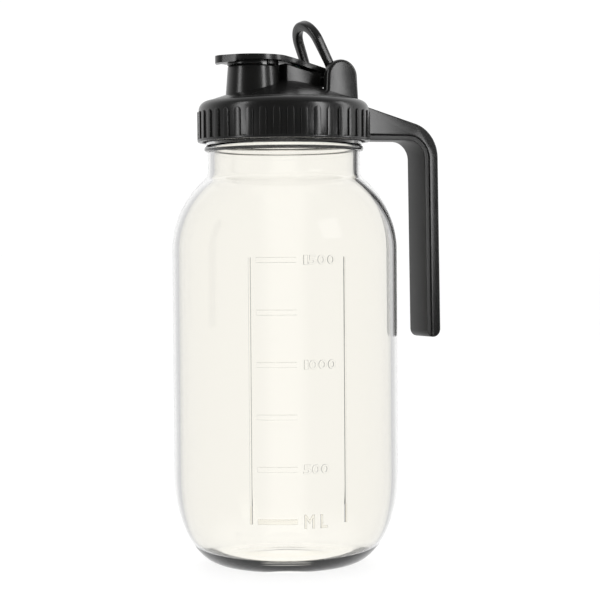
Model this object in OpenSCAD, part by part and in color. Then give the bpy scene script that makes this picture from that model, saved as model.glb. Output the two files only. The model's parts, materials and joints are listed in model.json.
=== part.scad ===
// Glass pitcher jar with a ribbed screw band, a side handle and a flip-top pour lid.
// Millimetres, +Z up. The origin is the centre of the ring the jar stands on.
// The handle points along +X, the spout along -X, and the lid's hinge runs along Y.

/* [Jar] */
// Outer radius of the jar's straight wall
jar_r = 59; // [54:0.5:72]
// Height of the glass from its foot to its rim
jar_h = 237; // [215:1:300]
// Glass thickness of the wall and neck
jar_wall = 3.4; // [2.6:0.1:4.2]
// Glass thickness under the floor
floor_t = 6.5; // [4:0.5:9]
// How far the rounded base corner runs up the wall
corner_rise = 47.5; // [30:0.5:60]
// How far the rounded base corner runs inward
corner_run = 26; // [20:0.5:30]
// Radius of the floor inside, where the inner corner starts
floor_r = 40; // [36:0.5:42]
// Width of the flat ring that the jar stands on
foot_w = 3.5; // [2:0.5:6]
// Depth of the hollow under the base
push_up = 3.2; // [1:0.2:3.6]
// Radius of the shoulder's arc
shoulder_r = 50; // [42:0.5:54]
// Outer radius of the neck
neck_r = 40; // [36:0.5:44]
// Radius of the hollow curve between shoulder and neck
neck_round = 6; // [3:0.5:9]
// Length of the straight neck below the bead
neck_l = 9.8; // [5:0.2:14]
// Height of the bead under the screw band
bead_h = 3.2; // [2:0.2:5]
// How far the bead stands out from the neck
bead_out = 1.8; // [1:0.1:2.4]
// Height of the threaded finish, from the bead to the rim
finish_h = 18; // [17:0.5:24]

/* [Raised scale on the glass] */
// Height of the lowest mark above the foot
scale_z = 29.7; // [26:0.1:36]
// Height between two marks
scale_step = 26; // [20:0.1:28]
// Number of marks, the lowest one included
scale_marks = 6; // [3:1:6]
// Direction that the middle of the scale faces
scale_dir = -110.5; // [-180:0.5:180]
// Angle from there to each upright line
line_turn = 23.8; // [20:0.2:28]
// Angle from there to the middle of the marks
mark_turn = -10.7; // [-12:0.1:-9]
// How far the marks stand out
mark_out = 0.5; // [0.3:0.1:0.8]
// Height of one mark
mark_h = 2.7; // [1.5:0.1:4]
// Length of one mark
mark_l = 20; // [10:0.5:24]
// Width of the upright line at each side
line_w = 1.3; // [0.8:0.1:2]

/* [Thread] */
// Rise of the thread in one turn
pitch = 6.35; // [6:0.05:7]
// Length of the thread, in turns
thread_turns = 1.1; // [0.8:0.05:1.2]
// How far the glass thread stands out
thread_h = 1.5; // [1.2:0.1:1.8]
// Width of a thread at its root
thread_w = 2.9; // [2.4:0.1:3]
// Gap between the glass thread and the band's bore
thread_gap = 0.5; // [0.4:0.05:0.7]
// Gap between the flanks of the two threads
flank_gap = 0.4; // [0.35:0.05:0.6]

/* [Screw band] */
// Height of the band
band_h = 21.5; // [20:0.5:24]
// Wall of the band
band_wall = 1.7; // [1.6:0.1:3]
// Radius of the band's rounded shoulder
band_round = 5; // [3:0.5:6]
// Thickness of the lip that holds the pour lid down
lip_t = 1.9; // [1.5:0.1:3]
// How far the lip reaches in over the pour lid
lip_reach = 3.2; // [2:0.1:4]
// Number of grip pads around the band
pads = 40; // [24:2:48]
// Width of one grip pad
pad_w = 3.6; // [2:0.1:4]
// How far a grip pad stands out
pad_out = 0.7; // [0.4:0.1:1]
// Height of the plain rim under the grip pads
rim_h = 1.5; // [1:0.1:3]

/* [Gasket] */
// Thickness of the rim gasket
gasket_t = 1.6; // [1:0.1:2.5]

/* [Pour lid] */
// Thickness of the pour lid's flange
flange_t = 2; // [1.5:0.1:3]
// Wall of the pour lid
lid_wall = 2.2; // [1.6:0.1:2.8]
// Height of the deck's top above the band
deck_rise = 10.5; // [6:0.5:12]
// Radius of the small flat on top of the deck
deck_flat_r = 8.5; // [6:0.5:12]
// Depth of the collar that reaches into the mouth
collar_l = 5; // [3:0.5:8]
// Distance of the spout's axis from the jar's axis
spout_x = 17.8; // [16:0.1:19]
// Outer radius of the spout at its foot
spout_foot_r = 14.6; // [14.2:0.1:15.5]
// Outer radius of the spout at its mouth
spout_top_r = 13.1; // [12.8:0.1:13.6]
// Wall of the spout at its mouth
spout_wall = 2; // [1.5:0.1:2.4]
// Height of the spout's mouth above the band
spout_h = 17.6; // [16:0.1:19]

/* [Hinge] */
// Distance of the hinge axis from the jar's axis
hinge_x = 23.7; // [22:0.1:24.5]
// Height of the hinge axis above the band
hinge_h = 12; // [11:0.1:13]
// Radius of the rounded top of an ear
ear_r = 9; // [8:0.1:9.4]
// Half width of an ear at its foot
ear_foot = 9.9; // [9.4:0.1:10.4]
// Thickness of one ear
ear_t = 5.5; // [4:0.5:6]
// Radius of the hinge pin
pin_r = 1.5; // [1.2:0.1:2]
// Running gap between the pin and what turns on it
pin_gap = 0.05; // [0.02:0.01:0.08]
// Gap at each side between neighbours along the pin
side_gap = 0.5; // [0.4:0.1:0.8]

/* [Flip cap] */
// Radius of the cap's round head
head_r = 18.9; // [17:0.1:20]
// How far the thumb lip reaches out from the spout's axis
thumb_reach = 20.7; // [19:0.1:22]
// Height of the head's top above the band
head_h = 22.3; // [21.5:0.1:24]
// Thickness of the cap's plate
cap_t = 2.6; // [2.2:0.1:3.2]
// Extra depth of the thumb lip
thumb_drop = 1.2; // [0.5:0.1:2]
// Half width of the arm
arm_half = 10.3; // [8:0.1:11]
// Slope of the arm, from the head down to the hinge
arm_slope = 14; // [12:0.5:16]
// Radius of the barrel on the hinge pin
barrel_r = 4; // [3.4:0.1:4.5]
// Radius of the curve between the head and the arm
arm_round = 60; // [40:5:80]
// Radius of the hollow curve from the head's rim into the arm's side
arm_blend = 25; // [10:1:30]
// Wall of the skirt that stands over the spout
skirt_wall = 1.6; // [1.2:0.1:2]
// Width of the three gaps in the skirt
skirt_gap_w = 3.2; // [2:0.1:4]
// Gap between the skirt and the spout's mouth
skirt_gap = 0.3; // [0.2:0.05:0.5]

/* [Seals] */
// Depth of the spout seal
seal_l = 3.5; // [2.5:0.1:4]
// Gap between the spout seal and the spout's bore
seal_gap = 0.4; // [0.3:0.05:0.6]
// How much narrower the seal is at its lower end
seal_taper = 0.9; // [0.7:0.1:1.4]
// Radius of the boss that carries the spout seal
seal_boss_r = 4.5; // [3:0.5:6]
// Radius of the air hole
vent_r = 1.5; // [1:0.1:2]
// Radius of the air hole's seal
vent_seal_r = 2.8; // [2.4:0.1:4]
// Gap between the arm and the block under it
block_gap = 1.5; // [1:0.1:2]

/* [Carry loop] */
// Length of the loop from the hinge axis to its outer end
loop_l = 33; // [29:0.5:38]
// Lean of the loop from upright, towards the spout
loop_lean = 24; // [20:1:28]
// Thickness of the loop
loop_t = 4.6; // [3.5:0.1:5]
// Outer radius of the loop's round end
loop_end_r = 13.5; // [12.5:0.1:14]
// Thickness of the loop's round end
loop_bar = 5; // [4:0.1:6]
// Radius of the eyes on the pin
eye_r = 4; // [3.4:0.1:4.5]
// Width of one leg at the pin
leg_w = 5; // [4:0.1:6]
// How far the legs run straight before they draw in
leg_straight = 9; // [8:0.5:10]

/* [Handle] */
// Distance of the grip's inner face from the jar's axis
grip_x = 80.7; // [76:0.1:95]
// Depth of the grip from its inner to its outer face
grip_t = 8.8; // [8:0.1:12]
// Width of the handle
handle_w = 18; // [16:0.5:24]
// Height of the handle's root against the band
root_h = 18.3; // [17:0.1:19]
// Distance from the band's lower edge up to the handle's underside
root_up = 2; // [1.5:0.1:3]
// Fall of the arm's top edge, in degrees
arm_fall = 16; // [12:0.5:18]
// Radius of the inner corner
inner_round = 10; // [8:0.5:12]
// Radius of the outer corner
outer_round = 19; // [17:0.5:20]
// Length of the grip below the handle's underside
grip_l = 106.7; // [90:0.5:140]
// Outward lean of the grip, in degrees
grip_lean = 0.7; // [0:0.1:2]
// Wall of the handle's outer shell
shell_wall = 2.2; // [1.8:0.1:2.6]
// Thickness of the inner cover
cover_t = 2.6; // [2:0.1:3]
// Depth of the tongue that locates the cover in the shell
tongue_l = 1.6; // [1:0.1:2]
// Gap around the cover's tongue
tongue_gap = 0.15; // [0.1:0.05:0.3]
// Width of the key that joins the handle to the band
key_w = 9; // [6:0.5:11]
// Height of that key
key_h = 9; // [6:0.5:11]
// Length of that key
key_l = 8; // [6:0.5:9]

/* [Hidden] */
$fn = 96;
// How far a cutting shape runs past what it cuts
past = 5;
steps = 14;

// Glass
mouth_r = neck_r - jar_wall;
finish_r = neck_r + 0.9;
foot_r = jar_r - corner_run;
bead_z = jar_h - finish_h - bead_h;
neck_z = bead_z - neck_l;
shoulder_x = jar_r - shoulder_r;
blend_r = shoulder_r + neck_round;
blend_x = neck_r + neck_round - shoulder_x;
shoulder_z = neck_z - sqrt(blend_r * blend_r - blend_x * blend_x);
blend_a = atan2(neck_z - shoulder_z, blend_x);
rim_round = 1.4;
floor_dome = 1.5;

// Thread: the band's ridge lies under the glass one, flank to flank
thread_crest = 1.2;
thread_z = jar_h - 3.6 - pitch * thread_turns;
bore_r = finish_r + thread_h + thread_gap;
band_thread_drop = thread_w + flank_gap;

// Heights from the rim up: gasket, flange, lip
gasket_z = jar_h;
flange_z = gasket_z + gasket_t;
lip_z = flange_z + flange_t;
band_top = lip_z + lip_t;
band_z = band_top - band_h;
band_r = bore_r + band_wall;
pad_r = band_r + pad_out;
flange_r = bore_r - 0.4;
lip_r = flange_r - lip_reach;
pad_z = band_z + rim_h;
pad_top = band_top - band_round - 0.6;
lip_play = 0.15;

// Pour lid
deck_r = lip_r - lip_play;
deck_z = band_top + 0.6;
deck_top = band_top + deck_rise;
collar_play = 0.5;
collar_r = mouth_r - collar_play;
gasket_in = mouth_r + 0.1;
gasket_out = finish_r + 0.6;
spout_bore_r = spout_top_r - spout_wall;
spout_top = band_top + spout_h;
hinge_z = band_top + hinge_h;
leg_in = arm_half + side_gap;
leg_out = leg_in + leg_w;
ear_in = leg_out + side_gap;
ear_out = ear_in + ear_t;
pin_skin = 1.5;

// Flip cap
head_top = band_top + head_h;
arm_end = (barrel_r - (head_top - hinge_z) * cos(arm_slope)) / sin(arm_slope);
blend_half = arm_round * tan(arm_slope / 2);
skirt_r = spout_top_r + 0.3;
skirt_gaps = [-87, 33, 153];
cap_under = head_top - cap_t;
seal_top_r = spout_bore_r - seal_gap;
seal_top = spout_top - 0.1;
seal_boss_l = 2.4;
block_front = -spout_x + skirt_r + 0.8;
arm_blend_x = -spout_x + sqrt(pow(head_r + arm_blend, 2) - pow(arm_half + arm_blend, 2));
arm_blend_turn = acos((arm_half + arm_blend) / (head_r + arm_blend));
block_back = hinge_x - barrel_r - 3;
block_half = arm_half + 0.2;
arm_under = barrel_r - cap_t;
vent_at = -17;

// Handle
under_z = band_z + root_up;
root_top = under_z + root_h;
root_x = sqrt(pad_r * pad_r - pow(handle_w / 2, 2)) - 0.4;
inner_cx = grip_x - inner_round;
inner_cz = under_z - inner_round;
grip_out = grip_x + grip_t;
outer_cx = grip_out - outer_round;
outer_cz = root_top - (outer_cx - root_x) * tan(arm_fall) - outer_round / cos(arm_fall);
tip_z = under_z - grip_l;
tip_r = grip_t / 2;
tip_cz = tip_z + tip_r;
key_z = under_z + root_h / 2 - key_h / 2 + 1.5;
key_x = band_r - 1;

function reversed(list) = [for (i = [len(list) - 1:-1:0]) list[i]];

function arc(cx, cy, r, a0, a1, n) =
    [for (i = [0:n]) let (a = a0 + (a1 - a0) * i / n) [cx + r * cos(a), cy + r * sin(a)]];

// Quarter of an ellipse from the wall down to the foot
function corner(from, run, rise, flip) =
    [for (i = [0:steps]) let (a = 90 * (flip ? i : steps - i) / steps)
        [from + run * cos(a), corner_rise - rise * sin(a)]];

function outer_wall() = concat(
    corner(foot_r, corner_run, corner_rise, false),
    arc(shoulder_x, shoulder_z, shoulder_r, 0, blend_a, steps),
    arc(neck_r + neck_round, neck_z, neck_round, 180 + blend_a, 180, 6));

function inner_wall() = concat(
    arc(neck_r + neck_round, neck_z, neck_round + jar_wall, 180, 180 + blend_a, 6),
    arc(shoulder_x, shoulder_z, shoulder_r - jar_wall, blend_a, 0, steps),
    corner(floor_r, jar_r - jar_wall - floor_r, corner_rise - floor_t, true));

function foot() = [for (i = [0:6]) let (a = 15 * i)
    [(foot_r - foot_w) * sin(a), push_up * cos(a)]];

function bead() = [for (i = [1:7]) let (a = -90 + 22.5 * i)
    [neck_r + bead_out * cos(a), bead_z + bead_h / 2 * (1 + sin(a))]];

module jar_solid() {
    rotate_extrude() polygon(concat(
        foot(),
        outer_wall(),
        [[neck_r, bead_z]],
        bead(),
        [[finish_r, bead_z + bead_h]],
        arc(finish_r - rim_round, jar_h - rim_round, rim_round, 0, 90, 4),
        arc(mouth_r + rim_round, jar_h - rim_round, rim_round, 90, 180, 4),
        inner_wall(),
        [[0, floor_t + floor_dome]]));
}

// Skin over the wall that the raised marks are cut from
module mark_skin() {
    outside = [for (p = outer_wall()) [p[0] + mark_out, p[1]]];
    inside = [for (p = outer_wall()) [p[0] - mark_out, p[1]]];
    rotate_extrude() polygon(concat(outside, reversed(inside)));
}

module upright_bar(x, z, w, h) {
    translate([jar_r - 8, x - w / 2, z]) cube([12, w, h]);
}

module flat_bar(x, z, l, h) {
    translate([jar_r - 8, x + h / 2, z - h / 2]) cube([12, l - h, h]);
    for (end = [x + h / 2, x + l - h / 2])
        translate([jar_r - 8, end, z]) rotate([0, 90, 0]) cylinder(r = h / 2, h = 12);
}

module raised_scale() {
    scale_l = scale_step * (scale_marks - 1) + mark_h;
    intersection() {
        mark_skin();
        union() {
            for (side = [-1, 1])
                rotate([0, 0, scale_dir + side * line_turn]) {
                    upright_bar(0, scale_z, line_w, scale_l);
                    upright_bar(-line_w, scale_z, 3 * line_w, line_w);
                }
            for (i = [0:scale_marks - 1])
                rotate([0, 0, scale_dir + mark_turn])
                    flat_bar(-mark_l / 2, scale_z + i * scale_step, mark_l, mark_h);
        }
    }
}

// Helical ridge with a trapezoid section, pointing out (side = 1) or in (side = -1)
module ridge(root, height, z, side) {
    n = round(48 * thread_turns);
    sunk = 0.6;
    function fade(i) = min(1, i / 4, (n - i) / 4);
    points = [for (i = [0:n])
        let (a = 360 * thread_turns * i / n, k = fade(i),
            tip = root + side * (height * k - 0.15 * (1 - k)),
            base = root - side * sunk, zc = z + pitch * thread_turns * i / n,
            w = thread_w / 2, c = thread_crest / 2)
        for (p = [[base, -w], [tip, -c], [tip, c], [base, w]])
            [p[0] * cos(a), p[0] * sin(a), zc + p[1]]];
    sides = [for (i = [0:n - 1]) for (j = [0:3]) let (k = (j + 1) % 4)
        side > 0 ? [4 * i + j, 4 * i + k, 4 * i + 4 + k, 4 * i + 4 + j]
            : [4 * i + 4 + j, 4 * i + 4 + k, 4 * i + k, 4 * i + j]];
    ends = side > 0 ? [[3, 2, 1, 0], [4 * n, 4 * n + 1, 4 * n + 2, 4 * n + 3]]
        : [[0, 1, 2, 3], [4 * n + 3, 4 * n + 2, 4 * n + 1, 4 * n]];
    polyhedron(points, concat(sides, ends), convexity = 6);
}

module glass_jar() {
    color([0.93, 0.92, 0.87, 0.35]) {
        jar_solid();
        raised_scale();
        ridge(finish_r, thread_h, thread_z, 1);
    }
}

module rim_gasket() {
    color("lightgray") translate([0, 0, gasket_z]) difference() {
        cylinder(r = gasket_out, h = gasket_t);
        translate([0, 0, -1]) cylinder(r = gasket_in, h = gasket_t + 2);
    }
}

module grip_pad() {
    tall = pad_top - pad_z - pad_w / 2;
    translate([band_r - 1, -pad_w / 2, pad_z - 0.5]) cube([3, pad_w, tall + 0.5]);
    translate([band_r - 1, 0, pad_z + tall]) rotate([0, 90, 0]) cylinder(r = pad_w / 2, h = 3);
}

module screw_band() {
    color("#1d1d1d") {
        rotate_extrude() polygon(concat(
            [[bore_r, band_z], [pad_r, band_z], [pad_r, pad_z], [band_r, pad_z]],
            arc(band_r - band_round, band_top - band_round, band_round, 0, 90, 8),
            [[lip_r, band_top], [lip_r, lip_z], [bore_r, lip_z]]));
        intersection() {
            cylinder(r = pad_r, h = band_top);
            for (i = [0:pads - 1]) rotate([0, 0, 360 / pads * (i + 0.5)]) grip_pad();
        }
        ridge(bore_r, thread_h - 0.1, thread_z - band_thread_drop, -1);
        translate([key_x, -key_w / 2, key_z]) cube([key_l, key_w, key_h]);
    }
}

// Handle outlines in the XZ plane; off moves the edge from the inner face outwards
function inner_edge(off) = concat(
    [[root_x - 4, under_z + off]],
    arc(inner_cx, inner_cz, inner_round + off, 90, 0, 8),
    [[grip_x + off, tip_cz]]);

function outer_edge(off) = concat(
    [[grip_out - off, tip_cz]],
    arc(outer_cx, outer_cz, outer_round - off, 0, 90 - arm_fall, 10),
    [[root_x - 4, root_top - off / cos(arm_fall) + 4 * tan(arm_fall)]]);

module handle_outline() {
    polygon(concat(inner_edge(0), outer_edge(0)));
    translate([grip_x + tip_r, tip_cz]) circle(r = tip_r);
}

// Tip the grip out a little, about the inner corner
module leaned() {
    translate([inner_cx, 0, under_z]) rotate([0, -grip_lean, 0])
        translate([-inner_cx, 0, -under_z]) children();
}

module upright_slab(w) {
    rotate([90, 0, 0]) linear_extrude(w, center = true) children();
}

// Side outline of all that lies inside the seam between shell and cover
module inside_seam() {
    polygon(concat(inner_edge(-past), [[grip_x - past, tip_z - past],
        [grip_x + cover_t, tip_z - past]], reversed(inner_edge(cover_t))));
}

// Side region that the hollow and the cover's tongue stay within, clear of the key and the tip
module beyond_key(gap) {
    translate([root_x + key_l + 1 + gap, tip_cz + gap])
        square([grip_out - root_x, root_top - tip_cz]);
}

module handle_shell() {
    color("#1d1d1d") difference() {
        leaned() difference() {
            upright_slab(handle_w) handle_outline();
            upright_slab(handle_w + 2) inside_seam();
            upright_slab(handle_w - 2 * shell_wall) intersection() {
                polygon(concat(inner_edge(cover_t - 1), outer_edge(shell_wall)));
                beyond_key(0);
            }
        }
        cylinder(r = pad_r, h = band_top + past);
        translate([0, -key_w / 2, key_z]) cube([key_x + key_l, key_w, key_h]);
    }
}

module handle_cover() {
    color("#262626") difference() {
        leaned() {
            intersection() {
                upright_slab(handle_w) handle_outline();
                upright_slab(handle_w) inside_seam();
            }
            upright_slab(handle_w - 2 * shell_wall - 2 * tongue_gap) intersection() {
                polygon(concat(inner_edge(cover_t - 1), reversed(inner_edge(cover_t + tongue_l))));
                beyond_key(0.5);
            }
        }
        cylinder(r = pad_r, h = band_top + past);
    }
}

// Side outline of one ear: straight sides up to a round top
module ear_outline() {
    translate([hinge_x, hinge_z]) circle(r = ear_r);
    polygon([[hinge_x - ear_foot, band_top], [hinge_x + ear_foot, band_top],
        [hinge_x + ear_r, hinge_z], [hinge_x - ear_r, hinge_z]]);
}

// Block under the arm, with its top parallel to the arm's underside
module block_outline(drop) {
    top = function (x) hinge_z
        + (arm_under - block_gap - drop - (x - hinge_x) * sin(arm_slope)) / cos(arm_slope);
    polygon([[block_front + drop, band_top], [block_back - drop, band_top],
        [block_back - drop, top(block_back - drop)],
        [block_front + drop, top(block_front + drop)]]);
}

// Low cone of the deck, from the height low up to off under its outside
module deck_cone(r, low, off) {
    rotate_extrude() polygon([[0, low], [r, low], [r, deck_z - off],
        [deck_flat_r, deck_top - off], [0, deck_top - off]]);
}

module pour_lid() {
    color("#1d1d1d") difference() {
        union() {
            deck_cone(deck_r, flange_z, 0);
            translate([0, 0, flange_z]) cylinder(r = flange_r, h = flange_t);
            translate([0, 0, flange_z - collar_l]) cylinder(r = collar_r, h = collar_l + 1);
            translate([-spout_x, 0, lip_z])
                cylinder(r1 = spout_foot_r, r2 = spout_top_r, h = spout_top - lip_z);
            for (side = [-1, 1]) translate([0, side * (ear_in + ear_out) / 2, 0])
                upright_slab(ear_t) ear_outline();
            upright_slab(2 * block_half) block_outline(0);
        }
        difference() {
            deck_cone(collar_r - lid_wall, flange_z - collar_l - 1, lid_wall);
            translate([-spout_x, 0, flange_z])
                cylinder(r = spout_foot_r, h = spout_top - flange_z);
        }
        translate([-spout_x, 0, flange_z - 2])
            cylinder(r = spout_bore_r, h = spout_top - flange_z + 4);
        upright_slab(2 * (block_half - lid_wall)) block_outline(lid_wall);
        translate([hinge_x, 0, hinge_z]) rotate([0, arm_slope, 0])
            translate([vent_at, 0, -10]) cylinder(r = vent_r, h = 20);
        translate([hinge_x, ear_out + 1, hinge_z]) rotate([90, 0, 0])
            cylinder(r = pin_r, h = 2 * ear_out + 1 - pin_skin);
    }
}

module hinge_pin() {
    color("silver") translate([hinge_x, ear_out - 0.3, hinge_z]) rotate([90, 0, 0])
        cylinder(r = pin_r, h = 2 * ear_out - 0.3 - pin_skin);
}

// Side outline of the cap: flat head, a curve, the sloping arm and the barrel
function cap_edge(off) = concat(
    [[-spout_x - thumb_reach - 2, head_top - off]],
    arc(hinge_x + arm_end - blend_half, head_top - arm_round, arm_round - off,
        90, 90 - arm_slope, 6),
    [[hinge_x + (barrel_r - off) * sin(arm_slope), hinge_z + (barrel_r - off) * cos(arm_slope)]]);

module cap_plan() {
    translate([-spout_x, 0]) circle(r = head_r);
    translate([-spout_x - thumb_reach + 9, 0]) circle(r = 9);
    translate([-spout_x, -arm_half]) square([spout_x + hinge_x, 2 * arm_half]);
    polygon(concat(
        arc(arm_blend_x, arm_half + arm_blend, arm_blend, 270 - arm_blend_turn, 270, 8),
        arc(arm_blend_x, -arm_half - arm_blend, arm_blend, 90, 90 + arm_blend_turn, 8)));
}

module flip_cap() {
    color("#1d1d1d") difference() {
        union() {
            intersection() {
                linear_extrude(head_top + 1) cap_plan();
                upright_slab(60) polygon(concat(cap_edge(0),
                    reversed(cap_edge(cap_t))));
            }
            intersection() {
                translate([0, 0, cap_under - thumb_drop]) linear_extrude(thumb_drop + 1) cap_plan();
                translate([-spout_x - thumb_reach - 3, -20, 0])
                    cube([thumb_reach - head_r + 5, 40, head_top]);
            }
            translate([-spout_x, 0, spout_top + skirt_gap]) difference() {
                cylinder(r = skirt_r, h = cap_under - spout_top - skirt_gap + 0.5);
                translate([0, 0, -1]) cylinder(r = skirt_r - skirt_wall, h = 10);
                for (a = skirt_gaps) rotate([0, 0, a])
                    translate([5, -skirt_gap_w / 2, -1])
                        cube([15, skirt_gap_w, cap_under - spout_top - skirt_gap + 1]);
            }
            translate([-spout_x, 0, seal_top - seal_boss_l])
                cylinder(r = seal_boss_r, h = cap_under - seal_top + seal_boss_l + 0.5);
            translate([hinge_x, 0, hinge_z]) rotate([90, 0, 0])
                cylinder(r = barrel_r, h = 2 * arm_half, center = true);
        }
        translate([hinge_x, 0, hinge_z]) rotate([90, 0, 0])
            cylinder(r = pin_r + pin_gap, h = 60, center = true);
    }
}

module spout_seal() {
    color("dimgray") translate([-spout_x, 0, seal_top - seal_l]) difference() {
        cylinder(r1 = seal_top_r - seal_taper, r2 = seal_top_r, h = seal_l);
        translate([0, 0, seal_l - seal_boss_l]) cylinder(r = seal_boss_r, h = seal_boss_l + 1);
    }
}

module vent_seal() {
    seal_t = block_gap - 0.1;
    color("dimgray") translate([hinge_x, 0, hinge_z]) rotate([0, arm_slope, 0])
        translate([vent_at, 0, arm_under - seal_t])
            cylinder(r1 = vent_seal_r - 0.4, r2 = vent_seal_r, h = seal_t);
}

// Loop in its own plane: x across the legs, y from the pin to the round end
module loop_outline() {
    centre = loop_l - loop_end_r;
    hole_r = loop_end_r - loop_bar;
    difference() {
        union() {
            translate([0, centre]) circle(r = loop_end_r);
            polygon([[-leg_out, 0], [leg_out, 0], [loop_end_r, centre], [-loop_end_r, centre]]);
        }
        translate([0, centre]) circle(r = hole_r);
        polygon([[-leg_in, -past], [leg_in, -past], [leg_in, leg_straight], [hole_r, centre],
            [-hole_r, centre], [-leg_in, leg_straight]]);
    }
}

module carry_loop() {
    color("#1d1d1d") translate([hinge_x, 0, hinge_z]) rotate([0, -loop_lean, 0]) difference() {
        union() {
            rotate([90, 0, 90]) linear_extrude(loop_t, center = true) loop_outline();
            for (side = [-1, 1]) translate([0, side * (leg_in + leg_out) / 2, 0])
                rotate([90, 0, 0]) cylinder(r = eye_r, h = leg_w, center = true);
        }
        rotate([90, 0, 0]) cylinder(r = pin_r + pin_gap, h = 60, center = true);
    }
}

glass_jar();
rim_gasket();
screw_band();
handle_shell();
handle_cover();
pour_lid();
hinge_pin();
flip_cap();
spout_seal();
vent_seal();
carry_loop();
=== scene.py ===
"""Looks of a glass pitcher jar with a handled pour lid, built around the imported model.

Laid out as a Blender add-on and run as a script. Metres, +Z up, origin at the centre of the jar's foot.
"""
import json
import math

import bmesh
import bpy
from bpy.props import FloatProperty, FloatVectorProperty, IntProperty, PointerProperty
from mathutils import Matrix, Vector

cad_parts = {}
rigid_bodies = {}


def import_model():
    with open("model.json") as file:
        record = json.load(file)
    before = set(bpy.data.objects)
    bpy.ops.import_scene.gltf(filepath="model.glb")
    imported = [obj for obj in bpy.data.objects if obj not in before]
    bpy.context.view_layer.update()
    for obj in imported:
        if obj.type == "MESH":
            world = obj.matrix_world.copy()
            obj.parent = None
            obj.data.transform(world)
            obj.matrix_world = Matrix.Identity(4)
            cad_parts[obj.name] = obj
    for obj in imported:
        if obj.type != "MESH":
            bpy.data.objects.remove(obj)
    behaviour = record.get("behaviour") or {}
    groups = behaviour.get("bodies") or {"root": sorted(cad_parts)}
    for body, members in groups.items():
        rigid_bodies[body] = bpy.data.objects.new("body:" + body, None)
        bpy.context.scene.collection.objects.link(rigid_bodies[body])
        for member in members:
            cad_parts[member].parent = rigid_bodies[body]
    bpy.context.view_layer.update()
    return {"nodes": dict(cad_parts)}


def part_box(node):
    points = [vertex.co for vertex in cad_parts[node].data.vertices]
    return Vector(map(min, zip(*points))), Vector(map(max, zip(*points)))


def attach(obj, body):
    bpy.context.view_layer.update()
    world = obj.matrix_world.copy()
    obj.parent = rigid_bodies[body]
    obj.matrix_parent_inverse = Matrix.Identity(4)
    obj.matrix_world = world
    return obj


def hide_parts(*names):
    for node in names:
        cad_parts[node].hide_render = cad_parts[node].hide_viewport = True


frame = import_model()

bl_info = {
    "name": "Pitcher Jar",
    "version": (1, 0, 0),
    "blender": (4, 5, 0),
    "location": "3D View > Sidebar > Pitcher Jar",
    "description": "Models the finished pieces of a glass pitcher jar around its CAD frame",
    "category": "Object",
}

JAR_LOW, JAR_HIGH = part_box("glass_jar")
BAND_LOW, BAND_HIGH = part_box("screw_band")
GRIP_LOW, GRIP_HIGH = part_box("handle_shell")
LID_LOW, LID_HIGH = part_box("pour_lid")
CAP_LOW, CAP_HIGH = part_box("flip_cap")
LOOP_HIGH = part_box("carry_loop")[1]
PIN_LOW, PIN_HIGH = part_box("hinge_pin")
SEAL_LOW, SEAL_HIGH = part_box("spout_seal")
HINGE = Vector(((PIN_LOW[0] + PIN_HIGH[0]) / 2, 0, (PIN_LOW[2] + PIN_HIGH[2]) / 2))
SPOUT_X = (SEAL_LOW[0] + SEAL_HIGH[0]) / 2
# Direction that the figures' bearings are counted from, in degrees
FRONT = -117
# How far the finish stands out from the neck
FINISH_OUT = 0.0009
MARKS = 6
# Depth that the skirt and the boss run into the plate, and the skirt's gap over the seal
ROOTED = 0.0004


def length(name, description, default):
    """A size in metres."""
    return FloatProperty(name=name, description=description, default=default, unit="LENGTH", precision=5)


def turn(name, description, degrees):
    """An angle."""
    return FloatProperty(
        name=name, description=description, default=math.radians(degrees), unit="ROTATION"
    )


def colour(name, description, default):
    """A linear colour."""
    return FloatVectorProperty(
        name=name, description=description, default=default, subtype="COLOR", min=0, max=1
    )


class JarSizes(bpy.types.PropertyGroup):
    radius: length("Radius", "Outer radius of the straight wall", -JAR_LOW[0])
    height: length("Height", "Foot to rim", JAR_HIGH[2])
    wall: length("Wall", "Glass thickness", 0.0034)
    floor: length("Floor", "Glass thickness under the floor", 0.0065)
    floor_radius: length("Floor radius", "Where the inner corner starts", 0.040)
    corner_rise: length("Corner rise", "How far the base corner runs up", 0.0475)
    corner_run: length("Corner run", "How far the base corner runs in", 0.026)
    foot_width: length("Foot width", "Width of the ring that the jar stands on", 0.0035)
    push_up: length("Push-up", "Depth of the hollow under the base", 0.0032)
    shoulder: length("Shoulder", "Radius of the shoulder's arc", 0.050)
    neck: length("Neck", "Outer radius of the neck", 0.040)
    neck_round: length("Neck curve", "Hollow curve under the neck", 0.006)
    neck_length: length("Neck length", "Straight neck under the bead", 0.0098)
    bead: length("Bead", "Height of the bead", 0.0032)
    bead_out: length("Bead relief", "How far the bead stands out", 0.0018)
    finish: length("Finish", "Height from the bead to the rim", 0.018)
    segments: IntProperty(name="Segments", description="Steps around the glass", default=288)


class ScaleSizes(bpy.types.PropertyGroup):
    lowest: length("Lowest mark", "Height of the lowest mark", 0.0297)
    step: length("Step", "Height between two marks", 0.026)
    facing: turn("Facing", "Direction of the middle of the scale", -110.5)
    half: turn("Half width", "Angle from the middle to an upright line", 23.8)
    relief: length("Relief", "How far the marks stand out", 0.00042)
    mark_height: length("Mark height", "Height of one mark", 0.0027)
    mark_length: length("Mark length", "Length of one mark", 0.020)
    line_width: length("Line width", "Width of an upright line", 0.0013)
    figure: length("Figure height", "Height of the numbers", 0.0048)
    offset: turn("Offset", "Angle from the middle to the marks", -10.7)


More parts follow.
